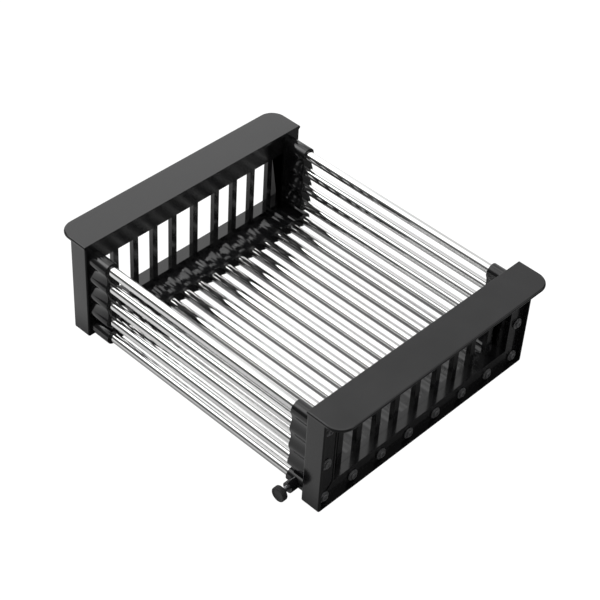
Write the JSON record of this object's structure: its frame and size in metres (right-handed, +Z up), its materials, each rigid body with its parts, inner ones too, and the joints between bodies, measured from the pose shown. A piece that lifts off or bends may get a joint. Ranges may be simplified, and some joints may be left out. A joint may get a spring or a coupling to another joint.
{
  "type": "expandable sink drain basket",
  "caption": "Expandable sink drain basket: glossy black end frames with rest lips and windows, joined by rows of telescopic steel tubes and locked by a thumb screw.",
  "frame": {"origin": "bottom centre of the closed basket's bounding box, on the plane its end frames stand on", "axes": "+X along the tubes from the left frame to the right frame, +Y from the side with the lock to the far side, +Z up"},
  "size_m": [0.2958, 0.2452, 0.0916],
  "materials": {
    "left_frame": "glossy moulded",
    "right_frame": "glossy moulded",
    "sleeve_plastic": "glossy moulded",
    "outer_tube": "polished stainless steel",
    "inner_tube": "polished stainless steel",
    "screw": "black coated",
    "brass": "turned",
    "stem": "zinc plated thread",
    "knob_plastic": "satin moulded"
  },
  "bodies": {
    "left_half": {"left_end_frame": "left_frame", "left_floor_block": "sleeve_plastic", "left_near_wall_block": "sleeve_plastic", "left_far_wall_block": "sleeve_plastic", "left_screws": "screw", "lock_collar": "sleeve_plastic", "lock_insert": "brass", "outer_floor_tube_1": "outer_tube", "outer_floor_tube_2": "outer_tube", "outer_floor_tube_3": "outer_tube", "outer_floor_tube_4": "outer_tube", "outer_floor_tube_5": "outer_tube", "outer_floor_tube_6": "outer_tube", "outer_floor_tube_7": "outer_tube", "outer_floor_tube_8": "outer_tube", "outer_floor_tube_9": "outer_tube", "outer_floor_tube_10": "outer_tube", "outer_floor_tube_11": "outer_tube", "outer_floor_tube_12": "outer_tube", "outer_floor_tube_13": "outer_tube", "outer_floor_tube_14": "outer_tube", "outer_floor_tube_15": "outer_tube", "outer_near_wall_tube_1": "outer_tube", "outer_near_wall_tube_2": "outer_tube", "outer_near_wall_tube_3": "outer_tube", "outer_near_wall_tube_4": "outer_tube", "outer_far_wall_tube_1": "outer_tube", "outer_far_wall_tube_2": "outer_tube", "outer_far_wall_tube_3": "outer_tube", "outer_far_wall_tube_4": "outer_tube"},
    "right_half": {"right_end_frame": "right_frame", "right_floor_block": "sleeve_plastic", "right_near_wall_block": "sleeve_plastic", "right_far_wall_block": "sleeve_plastic", "right_screws": "screw", "inner_floor_tube_1": "inner_tube", "inner_floor_tube_2": "inner_tube", "inner_floor_tube_3": "inner_tube", "inner_floor_tube_4": "inner_tube", "inner_floor_tube_5": "inner_tube", "inner_floor_tube_6": "inner_tube", "inner_floor_tube_7": "inner_tube", "inner_floor_tube_8": "inner_tube", "inner_floor_tube_9": "inner_tube", "inner_floor_tube_10": "inner_tube", "inner_floor_tube_11": "inner_tube", "inner_floor_tube_12": "inner_tube", "inner_floor_tube_13": "inner_tube", "inner_floor_tube_14": "inner_tube", "inner_floor_tube_15": "inner_tube", "inner_near_wall_tube_1": "inner_tube", "inner_near_wall_tube_2": "inner_tube", "inner_near_wall_tube_3": "inner_tube", "inner_near_wall_tube_4": "inner_tube", "inner_far_wall_tube_1": "inner_tube", "inner_far_wall_tube_2": "inner_tube", "inner_far_wall_tube_3": "inner_tube", "inner_far_wall_tube_4": "inner_tube"},
    "lock_stem": {"lock_stem": "stem"},
    "lock_knob": {"lock_knob": "knob_plastic"}
  },
  "joints": [
    {"name": "basket_slide", "type": "slide", "parent": "left_half", "child": "right_half", "axis": [1, 0, 0], "range_m": [0, 0.15]},
    {"name": "lock_travel", "type": "slide", "parent": "left_half", "child": "lock_stem", "axis": [0, -1, 0], "range_m": [0, 0.0021]},
    {"name": "lock_turn", "type": "hinge", "parent": "lock_stem", "child": "lock_knob", "pos_m": [0.10585, -0.11795, 0.0083], "axis": [0, -1, 0], "range_deg": [0, 1080]}
  ],
  "couplings": [
    {"joint": "lock_turn", "follows": "lock_travel", "rad_per_m": 8976}
  ]
}
